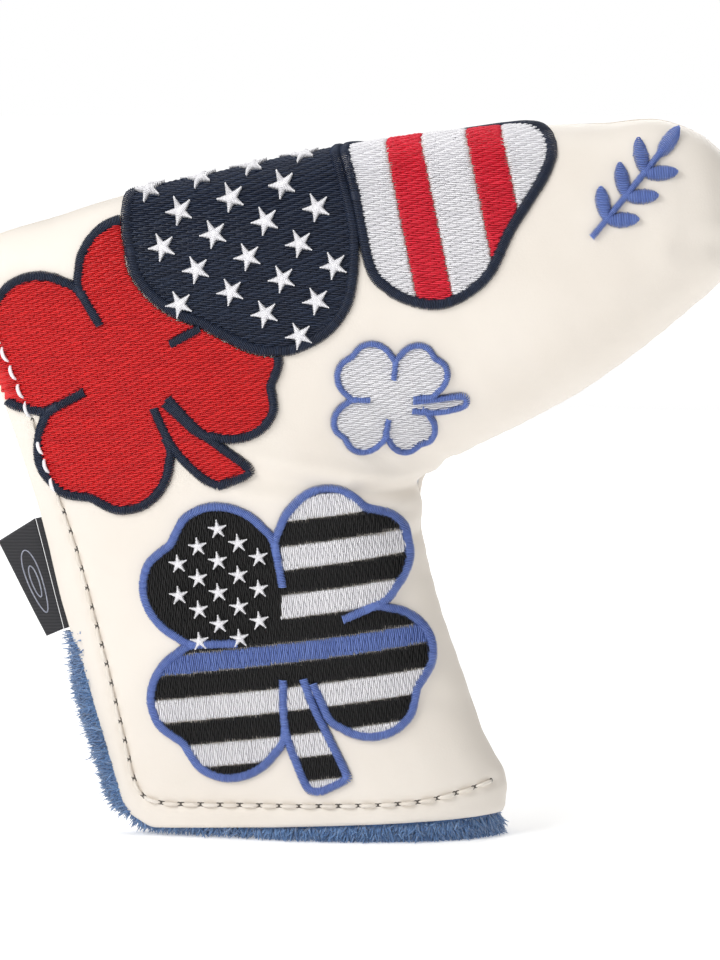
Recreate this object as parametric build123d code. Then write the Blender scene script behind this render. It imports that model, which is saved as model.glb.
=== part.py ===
from build123d import *

import os
from math import atan2, degrees

# Blade putter head cover: a padded leather boot that slips over the putter's head.
#
# The cover stands on its open hem. X runs from the heel (-) to the toe (+), Y from the front (-) to
# the back (+), and Z up. The origin is on the floor, below the middle of the cover's box.
# One cut of leather folds over the crown and closes in a seam round the toe, the underside and the
# inside of the leg. Its two leaves stay free along the heel edge and the hem, and open like a book
# about a fold that runs from the heel corner to the foot of the leg. All sizes are in millimetres.

# Layers of the wall, from the outside in.
LEATHER = 1.4
FOAM = 2.0
PILE = 3.0
FILL_HEIGHT = 0.7  # embroidered fills stand this proud of the leather
BORDER_HEIGHT = 1.0  # satin borders, stars and the toe mark stand a little higher
TOPSTITCH_HEIGHT = 0.35

# The hem, the heel edge and the fold that each leaf opens about.
HEM_AT_HEEL = (-51.3, 1.6)
HEM_AT_LEG = (60.0, 6.6)
HEM_CORNER_RADIUS = 6.5
EDGE_MARGIN = 7.0  # the foam stops this far inside the free edges
LEAF_GAP = 0.4  # half of the gap between the two leaves
FOLD_TOP = (-87.6, 123.8)
FOLD_FOOT = (18.6, 0.0)
FOLD_GAP = 0.25

MAGNET_RADIUS = 5.0
MAGNET_THICKNESS = 1.2
MAGNET_DEPTH = 2.9  # from the leather's face to the middle of the magnet
MAGNET_CLEARANCE = 0.05
MAGNET_CENTRES = [(-40.0, 17.0), (-50.0, 47.0), (-61.0, 79.0)]

STITCH_LENGTH = 3.3
STITCH_PITCH = 4.4
STITCH_WIDTH = 0.7

SMALLEST_PIECE = 0.02  # anything smaller (mm3) is a crumb left by a cut
SMALLEST_PATCH = 2.5  # the same for embroidery
FAR = 200.0
DEEP = 60.0

# Sections across the cover, from the foot of the leg, round the elbow, to the tip of the toe:
# the seam end (x, z), the heel or crown end (x, z), the half thickness, how far the crown end is a
# thin free edge (1) or a round fold (0), and how much of a layer's depth shortens the toe.
SECTIONS = [
    ((35.7, 0.0), (-50.7, 0.0), 18.0, 1.0, 0.0),
    ((35.9, 10.1), (-53.0, 10.1), 18.2, 1.0, 0.0),
    ((31.8, 20.3), (-55.5, 20.3), 18.5, 1.0, 0.0),
    ((26.7, 34.9), (-59.7, 34.9), 19.0, 1.0, 0.0),
    ((20.8, 52.9), (-65.1, 52.9), 20.0, 1.0, 0.0),
    ((17.0, 68.6), (-70.8, 75.4), 21.0, 1.0, 0.0),
    ((16.8, 77.2), (-78.2, 97.9), 21.7, 1.0, 0.0),
    ((19.0, 82.6), (-89.4, 128.9), 22.2, 1.0, 0.0),
    ((24.2, 85.5), (-62.4, 140.4), 22.6, 0.5, 0.0),
    ((32.1, 89.1), (-29.8, 148.5), 23.0, 0.0, 0.0),
    ((42.2, 94.3), (5.1, 155.5), 23.0, 0.0, 0.0),
    ((54.6, 101.5), (34.3, 159.1), 22.5, 0.0, 0.0),
    ((65.8, 109.6), (56.8, 160.2), 21.0, 0.0, 0.1),
    ((75.9, 117.9), (72.1, 160.4), 18.3, 0.0, 0.35),
    ((82.9, 124.0), (82.0, 155.5), 14.3, 0.0, 0.65),
    ((87.9, 129.8), (87.9, 147.8), 8.6, 0.0, 0.9),
    ((90.3, 136.6), (90.3, 141.0), 2.2, 0.0, 1.0),
]
# Control points of half a section: share of the way across it, and share of the half thickness.
ROUND_PROFILE = [(0, 0.48), (0.09, 1.44), (0.50, 0.99), (0.80, 1.05), (1, 0.85)]
EDGE_PROFILE = [(0, 0.50), (0.09, 1.20), (0.45, 1.40), (0.65, 0.60), (1, 0.38)]
THINNEST = 0.25
SECTION_SPANS = 7


# ---------------------------------------------------------------- the boot and its layers


def smooth_edge(*controls):
    """A spline through even steps of a Bezier curve. Every section shares the spline's parameters."""
    curve = Bezier(*controls)
    steps = [i / SECTION_SPANS for i in range(SECTION_SPANS + 1)]
    return Edge.make_spline([curve @ at for at in steps], parameters=steps)


def section_wire(seam_end, crown_end, half_thickness, edge_share, tip_share, depth):
    """One closed section, inset by depth from the leather's outside (outwards if negative)."""
    pull_back = Vector(tip_share * depth, 0, 0)
    start = Vector(seam_end[0], 0, seam_end[1]) - pull_back
    end = Vector(crown_end[0], 0, crown_end[1]) - pull_back
    inset = min(depth, 0.45 * (end - start).length)
    along = (end - start).normalized()
    start, end = start + along * inset, end - along * inset
    front, back = [], []
    for (round_at, round_share), (edge_at, edge_part) in zip(ROUND_PROFILE, EDGE_PROFILE):
        at = round_at + (edge_at - round_at) * edge_share
        share = round_share + (edge_part - round_share) * edge_share
        out = Vector(0, max(half_thickness * share - depth, THINNEST), 0)
        front.append(start + (end - start) * at - out)
        back.append(start + (end - start) * at + out)
    return Wire([smooth_edge(start, *front, end), smooth_edge(end, *back[::-1], start)])


def boot(depth):
    """The whole boot as a solid, inset by depth. A deep layer stops where the toe gets too thin."""
    deep_enough = [section for section in SECTIONS if section[2] > 1.5 * depth]
    return Solid.make_loft([section_wire(*section, depth) for section in deep_enough])


def prism(face, low=-DEEP, high=DEEP):
    """A face drawn in x and z, as a solid from y = low to y = high."""
    return extrude(Plane.XZ.offset(-low) * face, high - low, dir=(0, 1, 0))


def along_fold(offset, side):
    """The half plane on one side (+1 towards the heel) of the fold, moved by offset from it."""
    (x0, z0), (x1, z1) = FOLD_TOP, FOLD_FOOT
    angle = degrees(atan2(z1 - z0, x1 - x0))
    half = Pos(0, -side * FAR) * Rectangle(4 * FAR, 2 * FAR)
    return Pos(x0, z0) * Rot(0, 0, angle) * Pos(0, -side * offset) * half


def trim(margin=0.0, heel_z=HEM_AT_HEEL[1], leg_z=HEM_AT_LEG[1]):
    """The outline that the free edges are cut to, inset by margin; the z values set the hem."""
    heel_x, leg_x = HEM_AT_HEEL[0], HEM_AT_LEG[0]
    edge = [(-51.6, 11.0), (-58.0, 34.0), (-63.7, 53.0), (-69.3, 75.4), (-76.6, 98.0), (-88.6, 131.0)]
    points = [(heel_x, heel_z), (leg_x, leg_z), (FAR, leg_z), (FAR, FAR), (-88.6, FAR)] + edge[::-1]
    outline = Polygon(*points, align=None)
    corner = outline.vertices().sort_by_distance(Vector(heel_x, heel_z))[0]
    outline = fillet(corner, HEM_CORNER_RADIUS)
    return offset(outline, -margin, kind=Kind.ARC) if margin else outline


FRONT = Pos(0, -LEAF_GAP - DEEP, 0) * Box(4 * FAR, 2 * DEEP, 4 * FAR)
BACK = Pos(0, LEAF_GAP + DEEP, 0) * Box(4 * FAR, 2 * DEEP, 4 * FAR)
HEEL_SIDE = prism(along_fold(FOLD_GAP, 1))
TOE_SIDE = prism(along_fold(FOLD_GAP, -1))


def layers():
    """The leather, foam and plush as whole boots, before the leaves are parted."""
    outside, under_leather = boot(0), boot(LEATHER)
    under_foam, pocket = boot(LEATHER + FOAM), boot(LEATHER + FOAM + PILE)
    leather = (outside - under_leather) & prism(trim())
    foam = (under_leather - under_foam) & prism(trim(EDGE_MARGIN))
    plush = (under_leather - pocket - foam) & prism(trim(heel_z=0.0, leg_z=0.0))
    return outside, leather, foam, plush


def parted(layer):
    """A layer's fixed part, front leaf and back leaf."""
    return layer & TOE_SIDE, layer & HEEL_SIDE & FRONT, layer & HEEL_SIDE & BACK


def surface_point(solid, x, z, side):
    """Where the line through (x, z) along Y leaves the solid, in front (-1) or behind (+1)."""
    run = solid & Edge.make_line((x, -DEEP, z), (x, DEEP, z))
    end = max(run.vertices(), key=lambda vertex: side * vertex.Y)
    return Vector(end.X, end.Y, end.Z)


def surface_plane(solid, x, z, side, step=2.0):
    """A plane on the leather at (x, z), whose z axis points out of the cover."""
    here = surface_point(solid, x, z, side)
    along_x = surface_point(solid, x + step, z, side) - here
    along_z = surface_point(solid, x, z + step, side) - here
    normal = along_x.cross(along_z)
    return Plane(here, z_dir=normal if normal.Y * side > 0 else -normal)


def magnets(outside, side, growth=0.0):
    """The closure magnets of one leaf, or their pockets if growth is above 0."""
    discs = []
    for x, z in MAGNET_CENTRES:
        seat = surface_plane(outside, x, z, side).offset(-MAGNET_DEPTH)
        discs.append(seat * Cylinder(MAGNET_RADIUS + growth, MAGNET_THICKNESS + 2 * growth))
    return discs


def cut_pockets(layer, pockets):
    for pocket in pockets:
        layer = layer - pocket
    return layer


# ---------------------------------------------------------------- topstitching


def stitch_row(path):
    """Rectangles, one per stitch, along a line drawn in x and z."""
    count = int(path.length // STITCH_PITCH)
    bars = []
    for i in range(count):
        at = (i + 0.5) / count
        here, towards = path @ at, path % at
        turn = degrees(atan2(towards.Y, towards.X))
        bars.append(Pos(here.X, here.Y) * Rot(0, 0, turn) * Rectangle(STITCH_LENGTH, STITCH_WIDTH))
    return bars


def topstitching(outside):
    """The stitch rows beside the heel edge and the hem, on the body, the front and the back leaf."""
    heel = Spline((-82.6, 123.0), (-72.2, 98.0), (-60.5, 63.0), (-49.6, 20.0))
    corner = Spline((-48.4, 9.6), (-45.6, 7.3), (-42.0, 7.4))
    hem = Spline((-38.0, 8.0), (-6.0, 8.2), (14.0, 9.0), (24.4, 10.9), (33.0, 13.2))
    clear_of_fold = Sketch() + [along_fold(STITCH_LENGTH, side) for side in (1, -1)]
    bars = (Sketch() + stitch_row(heel) + stitch_row(corner) + stitch_row(hem)) & clear_of_fold
    skin = boot(-TOPSTITCH_HEIGHT) - outside
    front = skin & prism(bars - clover(*RED_CLOVER), high=0)
    back = skin & prism(bars, low=0)
    body = solids_of(front & TOE_SIDE, back & TOE_SIDE)
    return body, solids_of(front & HEEL_SIDE), solids_of(back & HEEL_SIDE)


def solids_of(*shapes, smallest=SMALLEST_PIECE):
    """All the solids of some shapes, without the crumbs that cutting leaves."""
    found = []
    for shape in shapes:
        if shape:
            found += [solid for solid in shape.solids() if solid.volume > smallest]
    return found


# ---------------------------------------------------------------- embroidery

# Each clover: its centre, the directions of its four leaves, a leaf's length, the width of its
# satin border, and its stem's direction, start, length and width.
RED_CLOVER = ((-48.9, 106.2), (75.5, 165.5, 254, 344), 33.5, 2.3, (-42, 10.0, 24.0, 7.0))
FLAG_CLOVER = ((-10.7, 43.9), (63, 149, 221, 331), 36.0, 2.1, (-74, 12.0, 21.0, 7.0))
SMALL_CLOVER = ((10.7, 98.3), (35, 143, 220, 314), 14.4, 1.4, (-2, 6.0, 10.0, 2.2))
# One side of a leaf that points along X, as shares of its length, and the notch at its tip.
LEAF_SIDE = [(0.22, 0.19), (0.45, 0.42), (0.72, 0.46), (0.96, 0.25)]
LEAF_NOTCH = 0.94
STEM_BORDER = 0.7  # the stem's border, next to the leaves' border
CLOVER_MIDDLE = 0.33  # radius of the middle that the leaves share, in leaf lengths

STAR_PETAL = [
    (-1.7, 160), (0.3, 146), (2.6, 138), (1.6, 121.5), (-5, 112.4), (-16.3, 108.9), (-28, 113.0),
    (-38.4, 117.2), (-47.5, 125.5), (-48.5, 138), (-40, 147), (-22, 158),
]
STRIPE_PETAL = [
    (-1.7, 160), (0.6, 145), (3.9, 128), (11, 121.6), (19.2, 119.5), (27.5, 122), (33.2, 128),
    (37.9, 137.7), (44.7, 146.5), (47.2, 152.5), (42, 161), (20, 166),
]
PETAL_BORDER = 2.7
SPRIG_FOOT, SPRIG_TURN, SPRIG_LENGTH, SPRIG_STEM = (54.0, 135.5), 50, 24.0, 1.6
SPRIG_LEAF = (3.7, 1.7)  # half its length and half its width
SPRIG_LEAF_TURN = 48
SPRIG_PAIRS = 3

LABEL = [(-70.3, 71.4), (-78.6, 66.2), (-67.8, 44.8), (-64.0, 46.4)]
LABEL_THICKNESS = 0.8
LABEL_TAB = [(-69.5, 71.4), (-63.2, 46.4), (-57.8, 48.4), (-64.0, 72.6)]
LABEL_TAB_THICKNESS = 0.5


def leaf(length):
    """A clover leaf with its point at the origin: a rounded heart along X."""
    upper = [(x * length, z * length) for x, z in LEAF_SIDE]
    lower = [(x, -z) for x, z in reversed(upper)]
    return make_face(Spline((0, 0), *upper, (LEAF_NOTCH * length, 0), *lower, (0, 0)))


def clover(centre, turns, length, border, stem, inset=0.0):
    """A clover's outline, or the outline of its fill if it is inset by the border's width."""
    direction, stem_start, stem_length, stem_width = stem
    point, shorter = 1.2 * inset, length - 2.2 * inset
    leaves = [Rot(0, 0, turn) * Pos(point, 0) * leaf(shorter) for turn in turns]
    leaves.append(Circle(CLOVER_MIDDLE * length))
    stalk_width = stem_width - 2 * inset * STEM_BORDER
    stalk = Rectangle(stem_length - inset, stalk_width, align=(Align.MIN, Align.CENTER))
    leaves.append(Rot(0, 0, direction) * Pos(stem_start, 0) * stalk)
    return Pos(*centre) * (Sketch() + leaves)


def petal(points, inset=0.0):
    """A smooth closed outline, or the same with each point moved towards the middle by inset."""
    middle = sum((Vector(*point) for point in points), Vector()) / len(points)
    moved = []
    for point in points:
        inwards = (middle - Vector(*point)).normalized()
        moved.append(Vector(*point) + inwards * inset)
    return make_face(Spline(*moved, periodic=True))


def bands(origin, turn, pitch, count, length=120.0):
    """Every second band of a striped field, as one face."""
    field = [Pos(0, i * 2 * pitch) * Rectangle(length, pitch) for i in range(-count, count + 1)]
    return Pos(*origin) * Rot(0, 0, turn) * (Sketch() + field)


def sprig():
    """The toe's plain ornament: a stem with pairs of leaves and one leaf at its tip."""
    stem = Pos(SPRIG_LENGTH / 2, 0) * SlotOverall(SPRIG_LENGTH, SPRIG_STEM)
    leaves = [Pos(SPRIG_LENGTH, 0) * Ellipse(*SPRIG_LEAF)]
    side_leaf = Pos(SPRIG_LEAF[0], 0) * Ellipse(*SPRIG_LEAF)
    for pair in range(SPRIG_PAIRS):
        root = SPRIG_LENGTH * (pair + 0.7) / (SPRIG_PAIRS + 0.6)
        for side in (1, -1):
            leaves.append(Pos(root, 0) * Rot(0, 0, side * SPRIG_LEAF_TURN) * side_leaf)
    return Pos(*SPRIG_FOOT) * Rot(0, 0, SPRIG_TURN) * (Sketch() + [stem] + leaves)


def embroidery(outside):
    """Every embroidered piece, by name. They lie on the front, up to the crown's ridge."""
    fill_skin = (boot(-FILL_HEIGHT) - outside) & FRONT
    border_skin = (boot(-BORDER_HEIGHT) - outside) & FRONT

    star_petal, stripe_petal = petal(STAR_PETAL), petal(STRIPE_PETAL)
    star_field = petal(STAR_PETAL, PETAL_BORDER)
    stripe_field = petal(STRIPE_PETAL, PETAL_BORDER) - star_petal
    petals = star_petal + stripe_petal
    crown_edge = star_petal + stripe_petal - star_field - stripe_field
    red, red_fill = clover(*RED_CLOVER) - petals, clover(*RED_CLOVER, inset=RED_CLOVER[3]) - petals
    flag, flag_fill = clover(*FLAG_CLOVER), clover(*FLAG_CLOVER, inset=FLAG_CLOVER[3])
    small, small_fill = clover(*SMALL_CLOVER), clover(*SMALL_CLOVER, inset=SMALL_CLOVER[3])

    red_stripes = Pos(8.6, 140) * Rot(0, 0, 99) * Pos(0, 3.4) * Rectangle(90, 7.6)
    red_stripes += Pos(8.6, 140) * Rot(0, 0, 99) * Pos(0, -15.2) * Rectangle(90, 7.6)
    middle = Pos(-10.7, 44.0) * Rot(0, 0, 7) * Rectangle(90, 4.4)
    star_quarter = Pos(-13.4, 46.2) * Rot(0, 0, 7) * Rectangle(60, 60, align=(Align.MAX, Align.MIN))
    dark = bands((-10.7, 36.6), 7, 5.2, 6) + star_quarter - middle
    patches = {
        "red_clover_fill": (fill_skin, red_fill),
        "red_clover_border": (border_skin, red - red_fill),
        "star_petal_field": (fill_skin, star_field),
        "petal_borders": (border_skin, crown_edge),
        "stripe_petal_white": (fill_skin, stripe_field - red_stripes),
        "stripe_petal_red": (fill_skin, stripe_field & red_stripes),
        "small_clover_fill": (fill_skin, small_fill),
        "small_clover_border": (border_skin, small - small_fill),
        "flag_clover_dark": (fill_skin, flag_fill & dark),
        "flag_clover_white": (fill_skin, flag_fill - dark - middle),
        "flag_clover_band": (fill_skin, flag_fill & middle),
        "flag_clover_border": (border_skin, flag - flag_fill),
        "toe_mark": (border_skin, sprig()),
    }
    return {name: skin & prism(face) for name, (skin, face) in patches.items()}


# ---------------------------------------------------------------- the assembly


def build():
    nodes = {}
    outside, leather, foam, plush = layers()
    pockets = {side: magnets(outside, side, MAGNET_CLEARANCE) for side in (-1, 1)}
    for name, layer in (("shell", leather), ("foam", foam), ("plush_lining", plush)):
        fixed, front, back = parted(layer)
        nodes[name] = fixed
        nodes[f"front_leaf_{name}"] = cut_pockets(front, pockets[-1])
        nodes[f"back_leaf_{name}"] = cut_pockets(back, pockets[1])
    for side, leaf_name in ((-1, "front_leaf"), (1, "back_leaf")):
        for number, magnet in enumerate(magnets(outside, side), 1):
            nodes[f"{leaf_name}_magnet_{number}"] = magnet
    fixed, front, back = topstitching(outside)
    nodes["topstitching"] = Compound(fixed)
    nodes["front_leaf_topstitching"] = Compound(front)
    nodes["back_leaf_topstitching"] = Compound(back)
    for name, piece in embroidery(outside).items():
        on_shell = solids_of(piece & TOE_SIDE, smallest=SMALLEST_PATCH)
        on_leaf = solids_of(piece & HEEL_SIDE, smallest=SMALLEST_PATCH)
        nodes[name] = Compound(on_shell)
        if on_leaf:
            nodes[f"front_leaf_{name}"] = Compound(on_leaf)
    label = make_face(Polyline(*LABEL, close=True))
    tab = make_face(Polyline(*LABEL_TAB, close=True))
    nodes["label"] = prism(label, -LABEL_THICKNESS / 2, LABEL_THICKNESS / 2)
    nodes["back_leaf_label_tab"] = prism(tab, LEAF_GAP - LABEL_TAB_THICKNESS, LEAF_GAP)
    return nodes


os.makedirs("parts", exist_ok=True)
for node, shape in build().items():
    export_step(Compound(solids_of(shape)), f"parts/{node}.step")
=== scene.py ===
from math import comb, cos, pi, radians, sin

import bpy
import numpy as np
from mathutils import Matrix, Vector
from mathutils.bvhtree import BVHTree


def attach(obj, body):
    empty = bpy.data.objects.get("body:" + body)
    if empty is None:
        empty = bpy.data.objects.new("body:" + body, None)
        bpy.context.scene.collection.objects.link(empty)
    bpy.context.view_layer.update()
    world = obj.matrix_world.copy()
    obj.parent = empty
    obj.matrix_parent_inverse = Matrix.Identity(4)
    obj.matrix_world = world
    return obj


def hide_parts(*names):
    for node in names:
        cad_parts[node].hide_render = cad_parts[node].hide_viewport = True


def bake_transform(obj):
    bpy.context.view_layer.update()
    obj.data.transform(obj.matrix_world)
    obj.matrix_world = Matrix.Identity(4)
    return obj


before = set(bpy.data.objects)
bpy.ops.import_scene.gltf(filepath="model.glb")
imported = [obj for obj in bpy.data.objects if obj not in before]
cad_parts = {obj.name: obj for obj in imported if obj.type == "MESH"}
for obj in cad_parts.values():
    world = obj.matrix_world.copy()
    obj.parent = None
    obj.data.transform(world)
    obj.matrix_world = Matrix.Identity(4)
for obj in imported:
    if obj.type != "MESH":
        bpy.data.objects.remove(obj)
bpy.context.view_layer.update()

MM = 0.001
NO_TRIS = np.zeros((0, 3), int)

# ------------------------------------------------------------------ sizes, in millimetres

# Sections of the cover, as in the CAD: the seam end (x, z), the heel or crown end (x, z), the half
# thickness, and how far the crown end is a thin free edge (1) or a round fold (0).
SECTIONS = [
    ((35.7, 0.0), (-50.7, 0.0), 18.0, 1.0),
    ((35.9, 10.1), (-53.0, 10.1), 18.2, 1.0),
    ((31.8, 20.3), (-55.5, 20.3), 18.5, 1.0),
    ((26.7, 34.9), (-59.7, 34.9), 19.0, 1.0),
    ((20.8, 52.9), (-65.1, 52.9), 20.0, 1.0),
    ((17.0, 68.6), (-70.8, 75.4), 21.0, 1.0),
    ((16.8, 77.2), (-78.2, 97.9), 21.7, 1.0),
    ((19.0, 82.6), (-89.4, 128.9), 22.2, 1.0),
    ((24.2, 85.5), (-62.4, 140.4), 22.6, 0.5),
    ((32.1, 89.1), (-29.8, 148.5), 23.0, 0.0),
    ((42.2, 94.3), (5.1, 155.5), 23.0, 0.0),
    ((54.6, 101.5), (34.3, 159.1), 22.5, 0.0),
    ((65.8, 109.6), (56.8, 160.2), 21.0, 0.0),
    ((75.9, 117.9), (72.1, 160.4), 18.3, 0.0),
    ((82.9, 124.0), (82.0, 155.5), 14.3, 0.0),
    ((87.9, 129.8), (87.9, 147.8), 8.6, 0.0),
    ((90.3, 136.6), (90.3, 141.0), 2.2, 0.0),
]
ROUND_PROFILE = [(0, 0), (0, 0.48), (0.09, 1.44), (0.50, 0.99), (0.80, 1.05), (1, 0.85), (1, 0)]
EDGE_PROFILE = [(0, 0), (0, 0.50), (0.09, 1.20), (0.45, 1.40), (0.65, 0.60), (1, 0.38), (1, 0)]
OPEN_EDGE = 0.045  # how much of an open section's curve is left off, so that its leaves stay apart

LEATHER = 1.3
WALL = 6.2  # leather, foam and plush backing together
HEM_AT_HEEL, HEM_AT_LEG = (-51.3, 1.6), (60.0, 6.6)
HEM_REACH = 24.0  # rows of the grid below this height are moved up with the hem
CORNER_RADIUS = 6.5
TOE_ROOM = 4.0  # the lining stops this much more than its depth short of the toe
PILE_SHOWS_TO = 46.0  # above this the leaves lie close together and hide the pile
HEEL_BULGE = -0.7  # how far the lining's backing stands out beyond the heel edge, below that
LINING_RISE = 1.8  # how much higher it ends at the heel
LINING_HEM = 2.3  # the lining's backing ends here, and its pile hangs down to the floor
FOLD_TOP, FOLD_FOOT = (-87.6, 123.8), (18.6, 0.0)
ROWS, COLUMNS = 270, 136

THREAD = 0.42  # distance between rows of a fill
FILL_TOP, BORDER_TOP = 0.62, 1.15
STITCH = 3.6  # length of a fill stitch
SATIN_PITCH, SATIN_SLANT = 0.36, 0.12  # distance between a border's stitches, and their lean

# ------------------------------------------------------------------ the cover's surface


def bernstein(count, at):
    """Weights of a Bezier curve's control points, one row for each parameter."""
    n = count - 1
    return np.stack([comb(n, i) * at**i * (1 - at) ** (n - i) for i in range(count)], axis=-1)


def hermite(values, knots, at):
    """A smooth curve through values at knots, with slopes from each point's neighbours."""
    slopes = np.gradient(values, knots, axis=0)
    i = np.clip(np.searchsorted(knots, at, side="right") - 1, 0, len(knots) - 2)
    width = (knots[i + 1] - knots[i])[:, None]
    t = ((at - knots[i]) / width[:, 0])[:, None]
    a, b = values[i], values[i + 1]
    return (
        a * (2 * t**3 - 3 * t**2 + 1) + b * (3 * t**2 - 2 * t**3)
        + slopes[i] * width * (t**3 - 2 * t**2 + t) + slopes[i + 1] * width * (t**3 - t**2)
    )


def normalised(vectors):
    """Vectors of length 1 in the same directions."""
    return vectors / np.maximum(np.linalg.norm(vectors, axis=-1, keepdims=True), 1e-9)


def lengths_along(path):
    """How far along a line each of its points lies."""
    return np.concatenate([[0], np.cumsum(np.linalg.norm(np.diff(path, axis=0), axis=1))])


def points_at(path, lengths, at):
    """The points of a flat line at given lengths along it."""
    return np.column_stack([np.interp(at, lengths, path[:, k]) for k in range(2)])


table = np.array([[p[0], p[1], q[0], q[1], h, e] for p, q, h, e in SECTIONS], float)
middles = (table[:, 0:2] + table[:, 2:4]) / 2
KNOTS = lengths_along(middles)


def hem_height(x):
    """The leather's lower edge, which rises from the heel to the leg's seam."""
    (x0, z0), (x1, z1) = HEM_AT_HEEL, HEM_AT_LEG
    return z0 + (z1 - z0) * (x - x0) / (x1 - x0)


def half_surface(along, across, depth=0.0, open_edge=OPEN_EDGE):
    """Points of the front half: along runs up the leg and out to the toe, across from seam to crown."""
    row = hermite(table, KNOTS, along)
    seam, crown, half, edge = row[:, 0:2], row[:, 2:4], row[:, 4:5], np.clip(row[:, 5:6], 0, 1)
    span = np.linalg.norm(crown - seam, axis=1, keepdims=True)
    unit = (crown - seam) / span
    inset = np.minimum(depth, 0.45 * span)
    seam, span = seam + unit * inset, span - 2 * inset
    last = 1 - open_edge * edge
    weights = bernstein(7, across[:, None] * last)[:, 0, :]
    round_x, round_y = np.array(ROUND_PROFILE, float).T
    edge_x, edge_y = np.array(EDGE_PROFILE, float).T
    share = weights @ np.stack([round_x, edge_x]).T
    height = weights @ np.stack([round_y, edge_y]).T
    share = share[:, 0:1] * (1 - edge) + share[:, 1:2] * edge
    height = height[:, 0:1] * (1 - edge) + height[:, 1:2] * edge
    ends = 4 * across[:, None] * (1 - across[:, None])
    out = half * height - depth * np.clip(ends * 2.5, 0, 1)
    flat = seam + unit * span * share
    return np.stack([flat[:, 0], -np.maximum(out[:, 0], 0.0), flat[:, 1]], axis=1)


def grid_parameters(rows, columns):
    """The surface's parameters at each grid point, with more columns near both ends."""
    along = np.linspace(0, KNOTS[-1], rows)
    across = np.linspace(0, 1, columns)
    across = 0.5 - 0.5 * np.cos(pi * across) * (0.55 + 0.45 * np.abs(np.cos(pi * across)))
    a, c = np.meshgrid(along, across, indexing="ij")
    return a.ravel(), c.ravel()


def trimmed(points, rows, columns, level=False):
    """Moves the lowest rows of a grid up to the hem, and rounds the leaf's free corner."""
    p = points.reshape(rows, columns, 3).copy()
    hem = LINING_HEM - LINING_RISE * np.clip(p[..., 0] / 50.0, -1, 0) if level else hem_height(p[..., 0])
    z = p[..., 2]
    low = z < HEM_REACH
    p[..., 2] = np.where(low, hem + (HEM_REACH - hem) * np.clip(z / HEM_REACH, 0, 1), z)
    edge_x = p[:, -1:, 0]
    from_edge = (p[..., 0] - edge_x) / CORNER_RADIUS
    from_hem = (p[..., 2] - hem) / CORNER_RADIUS
    corner = (from_edge < 1) & (from_hem < 1) & low
    u, t = np.clip(1 - from_edge, 0, 1), np.clip(1 - from_hem, 0, 1)
    ux, tz = u * np.sqrt(1 - t * t / 2), t * np.sqrt(1 - u * u / 2)
    p[..., 0] = np.where(corner, edge_x + CORNER_RADIUS * (1 - ux), p[..., 0])
    p[..., 2] = np.where(corner, hem + CORNER_RADIUS * (1 - tz), p[..., 2])
    return p.reshape(-1, 3)


def grid_normals(points, rows, columns):
    """Unit normals of a grid on the front half, pointing out of the cover."""
    p = points.reshape(rows, columns, 3)
    n = normalised(np.cross(np.gradient(p, axis=1), np.gradient(p, axis=0)))
    return n.reshape(-1, 3) * (-1 if np.mean(n[..., 1]) > 0 else 1)


def distance_to(path, xz):
    """Distance in the XZ plane from each point to a polyline."""
    best = np.full(len(xz), 1e9)
    for a, b in zip(path[:-1], path[1:]):
        d = b - a
        t = np.clip(((xz - a) @ d) / max(d @ d, 1e-9), 0, 1)
        best = np.minimum(best, np.linalg.norm(xz - (a + t[:, None] * d), axis=1))
    return best


def catmull(points, closed=False, step=0.25):
    """A smooth line through points, with points about a step apart."""
    p = np.array(points, float)
    loop = [p[-1], *p, p[0], p[1]] if closed else [2 * p[0] - p[1], *p, 2 * p[-1] - p[-2]]
    loop = np.array(loop)
    line = []
    for i in range(1, len(loop) - 2):
        a, b, c, d = loop[i - 1 : i + 3]
        count = max(2, int(np.linalg.norm(c - b) / step))
        t = (np.arange(count) / count)[:, None]
        line.append(
            0.5 * (2 * b + (c - a) * t + (2 * a - 5 * b + 4 * c - d) * t**2 + (3 * b - 3 * c + d - a) * t**3)
        )
    line = np.concatenate(line)
    return line if closed else np.vstack([line, p[-1]])


def ripple(p, scale, seed):
    """Smooth noise from a few crossing waves."""
    local = np.random.default_rng(seed)
    total = np.zeros(len(p))
    for _ in range(6):
        direction = local.normal(size=3)
        direction /= np.linalg.norm(direction)
        wave = local.uniform(0.7, 1.5) * 2 * pi / scale
        total += np.sin(p @ direction * wave + local.uniform(0, 2 * pi))
    return total / 6


# ------------------------------------------------------------------ meshes


def make_mesh(name, verts, quads, material, body, tris=NO_TRIS):
    """A mesh object, in metres, from arrays in millimetres."""
    mesh = bpy.data.meshes.new(name)
    quads = np.asarray(quads, np.int32).reshape(-1, 4)
    tris = np.asarray(tris, np.int32).reshape(-1, 3)
    mesh.vertices.add(len(verts))
    mesh.vertices.foreach_set("co", (np.asarray(verts) * MM).astype(np.float32).ravel())
    mesh.loops.add(quads.size + tris.size)
    mesh.loops.foreach_set("vertex_index", np.concatenate([quads.ravel(), tris.ravel()]))
    count = len(quads) + len(tris)
    mesh.polygons.add(count)
    starts = np.concatenate([np.arange(len(quads)) * 4, quads.size + np.arange(len(tris)) * 3])
    mesh.polygons.foreach_set("loop_start", starts.astype(np.int32))
    mesh.polygons.foreach_set("use_smooth", np.ones(count, bool))
    mesh.materials.append(material)
    mesh.update()
    mesh.validate()
    piece = bpy.data.objects.new(name, mesh)
    bpy.context.scene.collection.objects.link(piece)
    if body:
        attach(piece, body)
    return piece


def grid_quads(rows, columns, flip=False):
    """The faces of a grid of points, as point numbers."""
    i = np.arange(rows * columns).reshape(rows, columns)
    a, b, c, d = i[:-1, :-1].ravel(), i[:-1, 1:].ravel(), i[1:, 1:].ravel(), i[1:, :-1].ravel()
    return np.stack([a, d, c, b] if flip else [a, b, c, d], axis=1)


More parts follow.
